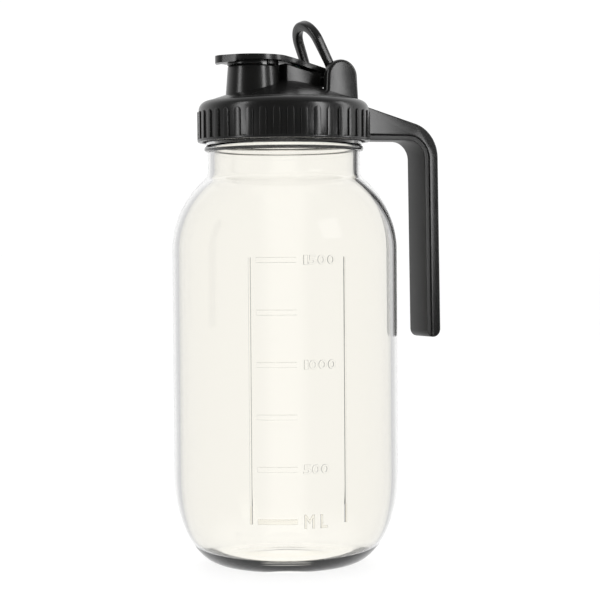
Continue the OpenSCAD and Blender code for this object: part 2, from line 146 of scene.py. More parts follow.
class BandSizes(bpy.types.PropertyGroup):
    radius: length("Radius", "Over the grip pads", BAND_HIGH[1])
    low: length("Lower edge", "Height of the band's lower edge", BAND_LOW[2])
    top: length("Top", "Height of the band's lip", BAND_HIGH[2])
    pad_out: length("Pad relief", "How far a grip pad stands out", 0.0007)
    pad_width: length("Pad width", "Width of a grip pad", 0.0036)
    rim: length("Rim", "Height of the plain rim", 0.0015)
    shoulder: length("Shoulder", "Radius of the rounded shoulder", 0.005)
    bore: length("Bore", "Inner radius of the band", 0.0429)
    lip: length("Lip", "Inner radius of the lip", 0.0393)
    lip_thickness: length("Lip thickness", "Thickness of the lip", 0.0019)
    pads: IntProperty(name="Pads", description="Grip pads around the band", default=40)


class HandleSizes(bpy.types.PropertyGroup):
    inner: length("Inner face", "Distance of the grip's inner face", 0.0807)
    depth: length("Depth", "Inner to outer face of the grip", 0.0088)
    width: length("Width", "Width of the handle", GRIP_HIGH[1] - GRIP_LOW[1])
    under: length("Underside", "Height of the arm's underside", 0.223)
    root: length("Root", "Height of the root", 0.0183)
    fall: turn("Fall", "Fall of the arm's top edge", 16)
    inner_round: length("Inner corner", "Radius of the inner corner", 0.010)
    outer_round: length("Outer corner", "Radius of the outer corner", 0.019)
    grip: length("Grip", "Underside to the grip's tip", 0.1067)
    lean: turn("Lean", "Outward lean of the grip", 0.7)
    cover: length("Cover", "Thickness of the inner cover", 0.0026)
    edge: length("Edge", "Rounding of the long edges", 0.0014)


class LidSizes(bpy.types.PropertyGroup):
    deck: length("Deck", "Radius of the deck", 0.03915)
    rise: length("Rise", "Height of the deck's top over the band", 0.0105)
    flat: length("Flat", "Radius of the flat on top", 0.0085)
    wall: length("Wall", "Wall of the lid", 0.0022)
    spout_foot: length("Spout foot", "Outer radius of the spout's foot", 0.0146)
    spout_mouth: length("Spout mouth", "Outer radius of the spout's mouth", 0.0131)
    spout_wall: length("Spout wall", "Wall of the spout's mouth", 0.002)
    spout_height: length("Spout height", "Height of the mouth over the band", 0.0176)
    ear: length("Ear", "Radius of an ear's round top", 0.009)
    ear_foot: length("Ear foot", "Half width of an ear's foot", 0.0099)
    ear_width: length("Ear width", "Thickness of an ear", 0.0055)
    ear_edge: length("Ear edge", "Rounding of an ear's edges", 0.0018)
    block_half: length("Block", "Half width of the block under the arm", 0.0105)


class CapSizes(bpy.types.PropertyGroup):
    head: length("Head", "Radius of the round head", CAP_HIGH[1])
    top: length("Top", "Height of the head's top", CAP_HIGH[2])
    tip: length("Tip", "X of the thumb lip's tip", CAP_LOW[0])
    thickness: length("Thickness", "Thickness of the plate", 0.0026)
    arm_half: length("Arm", "Half width of the arm", 0.0103)
    slope: turn("Slope", "Slope of the arm", 14)
    barrel: length("Barrel", "Radius of the barrel", 0.004)
    curve: length("Curve", "Radius between head and arm", 0.060)
    blend: length("Blend", "Hollow curve from the head's rim into the arm's side", 0.025)
    skirt: length("Skirt", "Outer radius of the skirt", 0.0134)


class LoopSizes(bpy.types.PropertyGroup):
    reach: length("Reach", "Hinge axis to the outer end", 0.033)
    lean: turn("Lean", "Lean towards the spout", 24)
    thickness: length("Thickness", "Thickness of the loop", 0.0046)
    end: length("End", "Outer radius of the round end", 0.0135)
    bar: length("Bar", "Thickness of the round end", 0.005)
    inner: length("Inner", "Half width between the legs at the pin", 0.0108)
    outer: length("Outer", "Half width over the legs at the pin", LOOP_HIGH[1])
    eye: length("Eye", "Radius of the eyes on the pin", 0.004)


class Finishes(bpy.types.PropertyGroup):
    black: colour("Black", "Moulded black plastic", (0.006, 0.006, 0.0058))
    glass: colour("Glass", "Tint of the glass", (0.995, 0.995, 0.993))
    glass_inside: colour("Glass inside", "Tint of the inner wall", (0.98, 0.958, 0.885))
    # Grey on the flanks of the raised scale is painted shade. It stands in for the dark edges that bent
    # light gives the marks, not a tint of the glass.
    relief_flank_shade: colour("Glass relief", "Tint of the flanks of the raised scale", (0.6, 0.6, 0.58))
    silicone: colour("Silicone", "Seals", (0.55, 0.55, 0.53))
    steel: colour("Steel", "Hinge pin", (0.6, 0.6, 0.6))
    floor: colour("Floor", "Plain floor", (0.28, 0.28, 0.28))


class StageSizes(bpy.types.PropertyGroup):
    distance: length("Distance", "Camera to the jar's axis", 0.95)
    bearing: turn("Bearing", "Turn of the view around the jar", 27)
    height: length("Height", "Camera height", 0.1665)
    aim_right: turn("Aim right", "Aim to the right of the axis", 0.476)
    aim_down: turn("Aim down", "Aim below level", 1.714)
    roll: turn("Roll", "Roll of the camera", -0.4)
    lens: FloatProperty(name="Lens", description="Focal length", default=108.3, unit="CAMERA")


# Shapes -------------------------------------------------------------------------------------------


def arc(centre, radius, start, end, steps):
    """Points of a circular or elliptical arc; radius is a number or (across, up), angles in degrees."""
    across, up = radius if isinstance(radius, tuple) else (radius, radius)
    turns = [math.radians(start + (end - start) * i / steps) for i in range(steps + 1)]
    return [(centre[0] + across * math.cos(a), centre[1] + up * math.sin(a)) for a in turns]


def outline(bm, points, closed=True, y=0.0):
    """Edges through points in the XZ plane, and the face inside them when closed."""
    verts = [bm.verts.new((x, y, z)) for x, z in points]
    edges = [bm.edges.new(pair) for pair in zip(verts, verts[1:])]
    if closed:
        edges.append(bm.edges.new((verts[-1], verts[0])))
        return bmesh.ops.contextual_create(bm, geom=edges)["faces"]
    return verts + edges


def revolve(bm, points, segments, centre=(0, 0, 0)):
    """A full turn of an open profile about the upright axis through centre."""
    geom = outline(bm, points, closed=False)
    verts = [g for g in geom if isinstance(g, bmesh.types.BMVert)]
    bmesh.ops.translate(bm, verts=verts, vec=(centre[0], centre[1], 0))
    bmesh.ops.spin(
        bm, geom=geom, cent=centre, axis=(0, 0, 1), angle=math.tau, steps=segments, use_merge=True
    )
    bmesh.ops.remove_doubles(bm, verts=bm.verts, dist=1e-6)


def round_edges(bm, edges, size, segments=3):
    """Bevel with a round profile."""
    bmesh.ops.bevel(
        bm, geom=edges, offset=size, offset_type="OFFSET", segments=segments,
        profile=0.5, affect="EDGES", material=-1, clamp_overlap=True,
    )


def slab(bm, points, low, high, edge=0.0, segments=3):
    """A plate with the given XZ outline from y = low to y = high, its rim edges rounded."""
    faces = outline(bm, points, y=low)
    made = bmesh.ops.extrude_face_region(bm, geom=faces, use_keep_orig=True)["geom"]
    verts = [g for g in made if isinstance(g, bmesh.types.BMVert)]
    bmesh.ops.translate(bm, verts=verts, vec=(0, high - low, 0))
    far = [g for g in made if isinstance(g, bmesh.types.BMFace)]
    rim = {e for f in faces + far for e in f.edges}
    bmesh.ops.recalc_face_normals(bm, faces=bm.faces)
    if edge:
        round_edges(bm, list(rim), edge, segments)


def clean(bm):
    """Merge double points, and point the faces outward."""
    bmesh.ops.remove_doubles(bm, verts=bm.verts, dist=1e-6)
    bmesh.ops.recalc_face_normals(bm, faces=bm.faces)


def bar_between(bm, points, low, high, edge=0.0, segments=3):
    """An upright bar with the given XY outline from z = low to z = high."""
    start = len(bm.verts)
    slab(bm, points, low, high, edge, segments)
    bm.verts.ensure_lookup_table()
    upright = Matrix(((1, 0, 0), (0, 0, 1), (0, 1, 0)))
    bmesh.ops.transform(bm, matrix=upright.to_4x4(), verts=bm.verts[start:])
    bmesh.ops.recalc_face_normals(bm, faces=bm.faces)


def cylinder(radius, low, high, segments=64, edge=0.0):
    """A new upright cylinder at the origin, its rims rounded."""
    bm = bmesh.new()
    bmesh.ops.create_cone(
        bm, cap_ends=True, segments=segments, radius1=radius, radius2=radius, depth=high - low
    )
    bmesh.ops.translate(bm, verts=bm.verts, vec=(0, 0, (low + high) / 2))
    if edge:
        rims = [e for e in bm.edges if abs(e.verts[0].co.z - e.verts[1].co.z) < 1e-7]
        round_edges(bm, rims, edge)
    return bm


def combine(bm, other, operation):
    """A new bmesh: bm joined with, cut by or kept within other, by the Boolean modifier."""
    solids = []
    for part in (bm, other):
        mesh = bpy.data.meshes.new("solid")
        part.to_mesh(mesh)
        part.free()
        solids.append(bpy.data.objects.new("solid", mesh))
        bpy.context.scene.collection.objects.link(solids[-1])
    modifier = solids[0].modifiers.new("combine", "BOOLEAN")
    modifier.operation = operation
    modifier.solver = "MANIFOLD"
    modifier.object = solids[1]
    graph = bpy.context.evaluated_depsgraph_get()
    mesh = bpy.data.meshes.new_from_object(solids[0].evaluated_get(graph))
    made = bmesh.new()
    made.from_mesh(mesh)
    bpy.data.meshes.remove(mesh)
    for solid in solids:
        bpy.data.meshes.remove(solid.data)
    if not made.faces:
        raise RuntimeError(f"nothing is left after {operation}")
    bmesh.ops.remove_doubles(made, verts=made.verts, dist=1e-6)
    return made


def turned(bm, degrees, axis):
    bmesh.ops.rotate(
        bm, verts=bm.verts, cent=(0, 0, 0), matrix=Matrix.Rotation(math.radians(degrees), 3, axis)
    )
    return bm


def moved(bm, x=0.0, y=0.0, z=0.0):
    bmesh.ops.translate(bm, verts=bm.verts, vec=(x, y, z))
    return bm


def sharp_rims(bm, degrees=50):
    """Edges where the surface turns by more than degrees."""
    limit = math.radians(degrees)
    return [e for e in bm.edges if e.is_manifold and e.calc_face_angle(0) > limit]


def to_object(name, bm, material, smooth=35):
    """A mesh object from bm, smooth-shaded but for edges sharper than smooth degrees."""
    mesh = bpy.data.meshes.new(name)
    bm.to_mesh(mesh)
    bm.free()
    mesh.materials.append(material)
    mesh.shade_smooth()
    mesh.set_sharp_from_angle(angle=math.radians(smooth))
    piece = bpy.data.objects.new(name, mesh)
    bpy.context.scene.collection.objects.link(piece)
    return piece


def place(piece, body, slot, *nodes):
    """Ride the piece on its body, and let it stand for its CAD nodes."""
    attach(piece, body)
    if nodes:
        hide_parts(*nodes)


def add(bm, part):
    """Copy the bmesh part into bm, and free it."""
    mesh = bpy.data.meshes.new("part")
    part.to_mesh(mesh)
    part.free()
    bm.from_mesh(mesh)
    bpy.data.meshes.remove(mesh)


# Materials ----------------------------------------------------------------------------------------


def new_material(name):
    material = bpy.data.materials.new(name)
    material.use_nodes = True
    return material, material.node_tree, material.node_tree.nodes["Principled BSDF"]


def grain(tree, scale, detail=3.0):
    """Noise on object coordinates; scale is in features per metre."""
    place_node = tree.nodes.new("ShaderNodeTexCoord")
    noise = tree.nodes.new("ShaderNodeTexNoise")
    noise.inputs["Scale"].default_value = scale
    noise.inputs["Detail"].default_value = detail
    tree.links.new(place_node.outputs["Object"], noise.inputs["Vector"])
    return noise.outputs["Fac"]


def mapped(tree, value, low, high):
    """Value from 0..1 to low..high."""
    node = tree.nodes.new("ShaderNodeMapRange")
    node.inputs["To Min"].default_value = low
    node.inputs["To Max"].default_value = high
    tree.links.new(value, node.inputs["Value"])
    return node.outputs["Result"]


def bump(tree, shader, value, strength, distance):
    node = tree.nodes.new("ShaderNodeBump")
    node.inputs["Strength"].default_value = strength
    node.inputs["Distance"].default_value = distance
    tree.links.new(value, node.inputs["Height"])
    tree.links.new(node.outputs["Normal"], shader.inputs["Normal"])


def black_plastic(name, tone, smooth, rough):
    """Moulded black plastic: fine spark texture, uneven polish."""
    material, tree, shader = new_material(name)
    fine = grain(tree, 4200, 2)
    broad = grain(tree, 55, 4)
    ramp = tree.nodes.new("ShaderNodeValToRGB")
    ramp.color_ramp.elements[0].color = (*[c * 0.82 for c in tone], 1)
    ramp.color_ramp.elements[1].color = (*[min(1, c * 1.25) for c in tone], 1)
    tree.links.new(broad, ramp.inputs["Fac"])
    tree.links.new(ramp.outputs["Color"], shader.inputs["Base Color"])
    tree.links.new(mapped(tree, broad, smooth, rough), shader.inputs["Roughness"])
    bump(tree, shader, fine, 0.03, 0.00006)
    shader.inputs["IOR"].default_value = 1.46
    shader.inputs["Specular IOR Level"].default_value = 0.5
    return material


def glass_material(name, tint):
    material, tree, shader = new_material(name)
    shader.inputs["Base Color"].default_value = (*tint, 1)
    shader.inputs["Transmission Weight"].default_value = 1
    shader.inputs["Roughness"].default_value = 0
    shader.inputs["IOR"].default_value = 1.5
    bump(tree, shader, grain(tree, 26, 1.0), 0.03, 0.0006)
    return material


def silicone_material(tone):
    material, tree, shader = new_material("seal_silicone")
    shader.inputs["Base Color"].default_value = (*tone, 1)
    shader.inputs["Subsurface Weight"].default_value = 0.25
    shader.inputs["Subsurface Scale"].default_value = 0.002
    tree.links.new(mapped(tree, grain(tree, 300), 0.42, 0.58), shader.inputs["Roughness"])
    bump(tree, shader, grain(tree, 2500), 0.1, 0.00005)
    return material


def steel_material(tone):
    material, tree, shader = new_material("drawn_steel")
    shader.inputs["Base Color"].default_value = (*tone, 1)
    shader.inputs["Metallic"].default_value = 1
    tree.links.new(mapped(tree, grain(tree, 900), 0.22, 0.38), shader.inputs["Roughness"])
    bump(tree, shader, grain(tree, 3000), 0.15, 0.00003)
    return material


def finish(name):
    """Each finish is made once."""
    made = bpy.data.materials.get(name)
    if made:
        return made
    tones = bpy.context.scene.jar_finishes
    if name == "glass_outside":
        return glass_material(name, tones.glass)
    if name == "glass_inside":
        return glass_material(name, tones.glass_inside)
    # Grey glass for the scale's flanks: painted shade, not a tint.
    if name == "relief_flank_shade":
        return glass_material(name, tones.relief_flank_shade)
    if name == "seal_silicone":
        return silicone_material(tones.silicone)
    if name == "drawn_steel":
        return steel_material(tones.steel)
    return black_plastic(name, tones.black, *{
        "satin_black": (0.2, 0.3),
        "grip_black": (0.36, 0.48),
    }[name])


# Pieces -------------------------------------------------------------------------------------------


def jar_profile(s):
    """Closed profile of the glass: foot, outside, rim, inside, floor."""
    foot = s.radius - s.corner_run
    dish = foot - s.foot_width
    bead_z = s.height - s.finish - s.bead
    neck_z = bead_z - s.neck_length
    shoulder_x = s.radius - s.shoulder
    reach = s.neck + s.neck_round - shoulder_x
    shoulder_z = neck_z - math.sqrt((s.shoulder + s.neck_round) ** 2 - reach**2)
    blend = math.degrees(math.atan2(neck_z - shoulder_z, reach))
    mouth, finish_r, rim = s.neck - s.wall, s.neck + FINISH_OUT, 0.0014
    ledge, floor_crown, steps = 0.0004, 0.0015, 24
    inner_rise = s.corner_rise - s.floor
    inside = s.radius - s.wall - s.floor_radius
    return (
        [
            (dish * i / steps, s.push_up * (0.5 + 0.5 * math.cos(math.pi * i / steps)))
            for i in range(steps + 1)
        ]
        + arc((foot, s.corner_rise), (s.corner_run, s.corner_rise), -90, 0, 40)
        + arc((shoulder_x, shoulder_z), s.shoulder, 0, blend, 28)
        + arc((s.neck + s.neck_round, neck_z), s.neck_round, 180 + blend, 180, 12)[1:]
        + arc((s.neck, bead_z + s.bead / 2), (s.bead_out, s.bead / 2), -90, 90, 14)
        + [(finish_r, bead_z + s.bead + ledge)]
        + arc((finish_r - rim, s.height - rim), rim, 0, 90, 8)
        + arc((mouth + rim, s.height - rim), rim, 90, 180, 8)
        + arc((s.neck + s.neck_round, neck_z), s.neck_round + s.wall, 180, 180 + blend, 12)
        + arc((shoulder_x, shoulder_z), s.shoulder - s.wall, blend, 0, 28)[1:]
        + arc((s.floor_radius, s.corner_rise), (inside, inner_rise), 0, -90, 40)
        + [(0, s.floor + floor_crown)]
    )


def low_arch(radius, half, relief, sunk=0.0006):
    """Outline of a low rounded ridge: across, and out from the radius."""
    return [(-half, radius - sunk), (half, radius - sunk)] + arc((0, radius), (half, relief), 0, 180, 10)


def glyph(text, width, height, depth):
    """A raised letter or figure of the given size, in the XY plane."""
    curve = bpy.data.curves.new("glyph", "FONT")
    curve.body = text
    curve.extrude = 0.02
    curve.bevel_depth = 0.05
    curve.bevel_resolution = 2
    curve.offset = -0.02
    curve.resolution_u = 3
    carrier = bpy.data.objects.new("glyph", curve)
    bpy.context.scene.collection.objects.link(carrier)
    graph = bpy.context.evaluated_depsgraph_get()
    mesh = bpy.data.meshes.new_from_object(carrier.evaluated_get(graph))
    bm = bmesh.new()
    bm.from_mesh(mesh)
    bpy.data.meshes.remove(mesh)
    bpy.data.curves.remove(curve)
    low = [min(v.co[i] for v in bm.verts) for i in range(3)]
    high = [max(v.co[i] for v in bm.verts) for i in range(3)]
    middle = [-(a + b) / 2 for a, b in zip(low, high)]
    moved(bm, *middle)
    size = [b - a for a, b in zip(low, high)]
    bmesh.ops.scale(bm, verts=bm.verts, vec=(width / size[0], height / size[1], depth / size[2]))
    clean(bm)
    return bm


# Row of each text, counted up, and its letters: what it says, width in mm, bearing in degrees
FIGURES = (
    (5, (("1", 2.2, 10.0), ("5", 4.1, 13.4), ("0", 4.3, 18.0), ("0", 4.3, 23.0))),
    (3, (("1", 2.2, 10.0), ("0", 4.3, 13.6), ("0", 4.3, 18.2), ("0", 4.3, 23.0))),
    (1, (("5", 4.1, 10.2), ("0", 4.3, 14.6), ("0", 4.3, 19.2))),
    (0, (("M", 5.2, 11.2), ("L", 3.6, 18.4))),
)


def scale_marks(jar, s):
    """The raised scale: two upright lines, the marks, and the figures beside them."""
    parts = []
    unit_taller = 1.45
    top = s.lowest + (MARKS - 1) * s.step + s.mark_height / 2
    for side in (-1, 1):
        line = bmesh.new()
        ridge = [(out, -across) for across, out in low_arch(jar.radius, s.line_width / 2, s.relief)]
        bar_between(line, ridge, s.lowest - s.mark_height / 2, top)
        parts.append(turned(line, math.degrees(s.facing + side * s.half), "Z"))
    half_turn = s.mark_length / 2 / jar.radius
    for i in range(MARKS):
        mark = bmesh.new()
        ridge = [(out, up) for up, out in low_arch(jar.radius, s.mark_height / 2, s.relief)]
        face = outline(mark, ridge)
        bmesh.ops.spin(
            mark, geom=face + list(mark.edges) + list(mark.verts), cent=(0, 0, 0),
            axis=(0, 0, 1), angle=2 * half_turn, steps=14,
        )
        clean(mark)
        moved(mark, z=s.lowest + i * s.step)
        parts.append(turned(mark, math.degrees(s.facing + s.offset - half_turn), "Z"))
    for row, row_glyphs in FIGURES:
        for text, width, bearing in row_glyphs:
            tall = s.figure * (unit_taller if row == 0 else 1)
            part = glyph(text, width / 1000, tall, 2 * s.relief)
            stand = Matrix(((0, 0, 1), (1, 0, 0), (0, 1, 0))).to_4x4()
            bmesh.ops.transform(part, matrix=stand, verts=part.verts)
            moved(part, x=jar.radius, z=s.lowest + row * s.step)
            parts.append(turned(part, bearing + FRONT, "Z"))
    return parts


def glass_thread(jar):
    """The screw thread of the finish: a rounded ridge, one turn and a bit."""
    bm = bmesh.new()
    root = jar.neck + FINISH_OUT
    half, relief = 0.00145, 0.0015
    ridge = [(out, up) for up, out in low_arch(root, half, relief)]
    face = outline(bm, ridge)
    steps = 72
    pitch, turns, below_rim = 0.00635, 1.1, 0.0036
    rise = pitch * turns
    moved(bm, z=jar.height - below_rim - rise)
    bmesh.ops.spin(
        bm, geom=face + list(bm.edges) + list(bm.verts), cent=(0, 0, 0), axis=(0, 0, 1),
        dvec=(0, 0, rise / steps), angle=math.tau * turns, steps=steps,
    )
    clean(bm)
    return bm


class PITCHER_OT_jar(bpy.types.Operator):
    """Blow the glass jar."""

    bl_idname = "pitcher.jar"
    bl_label = "Glass Jar"

    def execute(self, context):
        sizes, marks = context.scene.jar_sizes, context.scene.scale_sizes
        bm = bmesh.new()
        revolve(bm, jar_profile(sizes), sizes.segments)
        clean(bm)
        relief = bmesh.new()
        for part in (*scale_marks(sizes, marks), glass_thread(sizes)):
            add(relief, part)
        bm = combine(bm, relief, "UNION")
        inward_limit, level, proud, head_on = -0.002, 0.3, 0.00003, 0.93
        for face in bm.faces:
            centre = face.calc_center_median()
            inward = centre.x * face.normal.x + centre.y * face.normal.y < inward_limit
            floor = face.normal.z > level and centre.z < sizes.corner_rise
            out = Vector((centre.x, centre.y, 0))
            raised = out.length > sizes.radius + proud
            # The flanks of the raised marks get the grey glass: painted shade for the marks' dark edges.
            flank = raised and face.normal.dot(out.normalized()) < head_on
            face.material_index = 1 if inward or floor else 2 if flank else 0
        piece = to_object("jar_glass", bm, finish("glass_outside"), smooth=30)
        piece.data.materials.append(finish("glass_inside"))
        piece.data.materials.append(finish("relief_flank_shade"))
        piece.visible_shadow = False
        place(piece, "jar", "clear_glass", "glass_jar")
        return {"FINISHED"}


def band_profile(s):
    """Open profile of the band, from the lip's inner edge over the shoulder to the bore."""
    wall = s.radius - s.pad_out
    soft = 0.0004
    return (
        [(s.lip, s.top - s.lip_thickness), (s.lip, s.top - soft)]
        + arc((s.lip + soft, s.top - soft), soft, 180, 90, 3)[1:]
        + arc((wall - s.shoulder, s.top - s.shoulder), s.shoulder, 90, 0, 14)
        + [(wall, s.low + s.rim + soft)]
        + arc((s.radius - soft, s.low + s.rim - soft), soft, 90, 0, 3)
        + arc((s.radius - 2 * soft, s.low + 2 * soft), 2 * soft, 0, -90, 5)
        + [(s.bore + soft, s.low), (s.bore, s.low + soft), (s.bore, s.top - s.lip_thickness)]
        + [(s.lip, s.top - s.lip_thickness)]
    )


def grip_pad(s):
    """One arch-topped pad on the +X side."""
    bm = bmesh.new()
    half = s.pad_width / 2
    below_shoulder, sunk, inward = 0.0006, 0.0003, 0.0008
    top = s.top - s.shoulder - below_shoulder
    points = [(-half, s.low + s.rim - sunk), (half, s.low + s.rim - sunk)]
    points += arc((0, top - half), half, 0, 180, 12)
    slab(bm, points, -s.radius, -s.radius + s.pad_out + inward)
    facing, edge = -0.9, 0.00028
    front = [f for f in bm.faces if f.normal.y < facing]
    rim = {e for f in front for e in f.edges}
    round_edges(bm, list(rim), edge, 3)
    bmesh.ops.rotate(bm, verts=bm.verts, cent=(0, 0, 0), matrix=Matrix.Rotation(math.pi / 2, 3, "Z"))
    return bm


class PITCHER_OT_band(bpy.types.Operator):
    """Mould the screw band with its grip pads."""

    bl_idname = "pitcher.band"
    bl_label = "Screw Band"

    def execute(self, context):
        sizes = context.scene.band_sizes
        bm = bmesh.new()
        revolve(bm, band_profile(sizes), 240)
        clean(bm)
        for i in range(sizes.pads):
            pad = grip_pad(sizes)
            spin = Matrix.Rotation(math.tau * (i + 0.5) / sizes.pads, 3, "Z")
            bmesh.ops.rotate(pad, verts=pad.verts, cent=(0, 0, 0), matrix=spin)
            add(bm, pad)
        piece = to_object("band_ring", bm, finish("satin_black"), smooth=40)
        place(piece, "lid", "black_plastic", "screw_band")
        return {"FINISHED"}


def handle_edges(s, root):
    """Inner and outer edge of the handle in the XZ plane, from the root to the tip."""
    tip = s.under - s.grip + s.depth / 2
    inner_x = s.inner - s.inner_round
    outer = s.inner + s.depth
    outer_x = outer - s.outer_round
    fall = math.tan(s.fall)
    outer_z = s.under + s.root - (outer_x - root) * fall - s.outer_round / math.cos(s.fall)

    def inner_edge(off):
        return (
            [(root, s.under + off)]
            + arc((inner_x, s.under - s.inner_round), s.inner_round + off, 90, 0, 14)
            + [(s.inner + off, tip)]
        )

    def outer_edge(off):
        return (
            [(outer - off, tip)]
            + arc((outer_x, outer_z), s.outer_round - off, 0, 90 - math.degrees(s.fall), 18)
            + [(root, s.under + s.root - off / math.cos(s.fall))]
        )

    return inner_edge, outer_edge, tip


def lean_grip(bm, s):
    """Tip the handle out about the inner corner, as the CAD does."""
    bmesh.ops.rotate(
        bm, verts=bm.verts, cent=(s.inner - s.inner_round, 0, s.under),
        matrix=Matrix.Rotation(-s.lean, 3, "Y"),
    )


class PITCHER_OT_handle(bpy.types.Operator):
    """Mould the handle's outer shell and its inner cover."""

    bl_idname = "pitcher.handle"
    bl_label = "Handle"

    def execute(self, context):
        s = context.scene.handle_sizes
        root = 0.0435
        half = s.width / 2
        inner_edge, outer_edge, tip = handle_edges(s, root)
        seam, softer = 0.0002, 0.7
        radius = s.depth / 2
        centre = (s.inner + radius, tip)

        def tip_angle(off):
            return 180 + math.degrees(math.acos(1 - off / radius))

        shell = bmesh.new()
        end = arc(centre, radius, tip_angle(s.cover + seam), 360, 12)
        points = inner_edge(s.cover + seam)[:-1] + end[:-1] + outer_edge(0)
        slab(shell, points, -half, half, s.edge, 4)
        lean_grip(shell, s)
        piece = to_object("handle_outer", shell, finish("satin_black"), smooth=30)
        place(piece, "lid", "black_plastic", "handle_shell")
        cover = bmesh.new()
        end = arc(centre, radius, 180, tip_angle(s.cover), 8)
        points = inner_edge(0)[:-1] + end + inner_edge(s.cover)[-2::-1]
        slab(cover, points, -half, half, s.edge * softer, 3)
        lean_grip(cover, s)
        piece = to_object("handle_inner", cover, finish("grip_black"), smooth=30)
        place(piece, "lid", "grip_plastic", "handle_cover")
        return {"FINISHED"}


class PITCHER_OT_lid(bpy.types.Operator):
    """Mould the pour lid: deck, spout, hinge ears and the block under the cap's arm."""

    bl_idname = "pitcher.lid"
    bl_label = "Pour Lid"

    def execute(self, context):
        s = context.scene.lid_sizes
        band_top = BAND_HIGH[2]
        low, flange = LID_LOW[2], LID_HIGH[0]
        flange_z, flange_t = low + 0.005, 0.002
        deck_z, deck_top = band_top + 0.0006, band_top + s.rise
        mouth = band_top + s.spout_height
        soft = 0.0005
        body = bmesh.new()
        collar, crown, inset = 0.0361, 0.012, 0.002
        revolve(body, (
            [(0, deck_top), (s.flat - inset, deck_top)]
            + arc((s.flat - inset, deck_top - crown), crown, 90, 72, 5)[1:]
            + arc((s.deck - 3 * soft, deck_z - 3 * soft), 3 * soft, 72, 0, 5)
            + [(s.deck, flange_z + flange_t), (flange - soft, flange_z + flange_t)]
            + [(flange, flange_z + flange_t - soft), (flange, flange_z), (collar, flange_z)]
            + [(collar, low + soft), (collar - soft, low), (collar - s.wall + soft, low)]
            + [(collar - s.wall, low + soft), (collar - s.wall, deck_z - s.wall)]
            + [(s.flat, deck_top - s.wall), (0, deck_top - s.wall)]
        ), 160)
        clean(body)
        spout = bmesh.new()
        foot_z, start_z = band_top - s.wall, flange_z + 0.001
        bore = s.spout_mouth - s.spout_wall
        lip = s.spout_wall / 2
        revolve(spout, (
            [(bore, start_z), (s.spout_foot, start_z), (s.spout_foot, foot_z)]
            + [(s.spout_mouth, mouth - lip)]
            + arc((s.spout_mouth - lip, mouth - lip), lip, 10, 180, 8)
            + [(bore, start_z)]
        ), 96)
        clean(spout)
        freed, past = 0.00002, 0.01
        hole = moved(cylinder(bore + freed, low - past, mouth + past, 96), x=SPOUT_X)
        made = combine(body, hole, "DIFFERENCE")
        add(made, moved(spout, x=SPOUT_X))
        ear_gap, sunk = 0.0005, 0.004
        inner = LOOP_HIGH[1] + ear_gap
        for side in (-1, 1):
            ear = bmesh.new()
            points = [(HINGE.x - s.ear_foot, deck_z - sunk), (HINGE.x + s.ear_foot, deck_z - sunk)]
            points += arc((HINGE.x, HINGE.z), s.ear, 0, 180, 28)
            near = min(side * inner, side * (inner + s.ear_width))
            slab(ear, points, near, near + s.ear_width, s.ear_edge, 4)
            add(made, ear)
        add(made, lid_block(context, deck_z))
        piece = to_object("lid_deck", made, finish("satin_black"), smooth=32)
        place(piece, "lid", "black_plastic", "pour_lid")
        return {"FINISHED"}


def lid_block(context, deck_z):
    """Sloping block under the cap's arm, with the air hole in it."""
    s, cap = context.scene.lid_sizes, context.scene.cap_sizes
    slope = math.tan(cap.slope)
    arm_gap, skirt_gap, barrel_gap, sunk, edge = 0.0015, 0.0008, 0.003, 0.004, 0.0007
    vent, vent_x, past = 0.0015, -0.017, 0.01
    under = HINGE.z + (cap.barrel - cap.thickness - arm_gap) / math.cos(cap.slope)
    front, back = SPOUT_X + cap.skirt + skirt_gap, HINGE.x - cap.barrel - barrel_gap
    bm = bmesh.new()
    points = [(front, deck_z - sunk), (back, deck_z - sunk)]
    points += [(x, under - (x - HINGE.x) * slope) for x in (back, front)]
    slab(bm, points, -s.block_half, s.block_half, edge, 3)
    hole = moved(cylinder(vent, -past, past, 32), x=vent_x)
    turned(hole, math.degrees(cap.slope), "Y")
    moved(hole, x=HINGE.x, z=HINGE.z)
    return combine(bm, hole, "DIFFERENCE")


# How far the cap's side outline runs past the thumb lip's tip
CAP_PAST = 0.002


def cap_edge(s, off):
    """The cap's side outline, off under its top: flat head, a curve, the sloping arm."""
    slope = math.degrees(s.slope)
    end = (s.barrel - (s.top - HINGE.z) * math.cos(s.slope)) / math.sin(s.slope)
    half = s.curve * math.tan(s.slope / 2)
    return (
        [(s.tip - CAP_PAST, s.top - off)]
        + arc((HINGE.x + end - half, s.top - s.curve), s.curve - off, 90, 90 - slope, 16)
        + [(HINGE.x + (s.barrel - off) * math.sin(s.slope),
            HINGE.z + (s.barrel - off) * math.cos(s.slope))]
    )


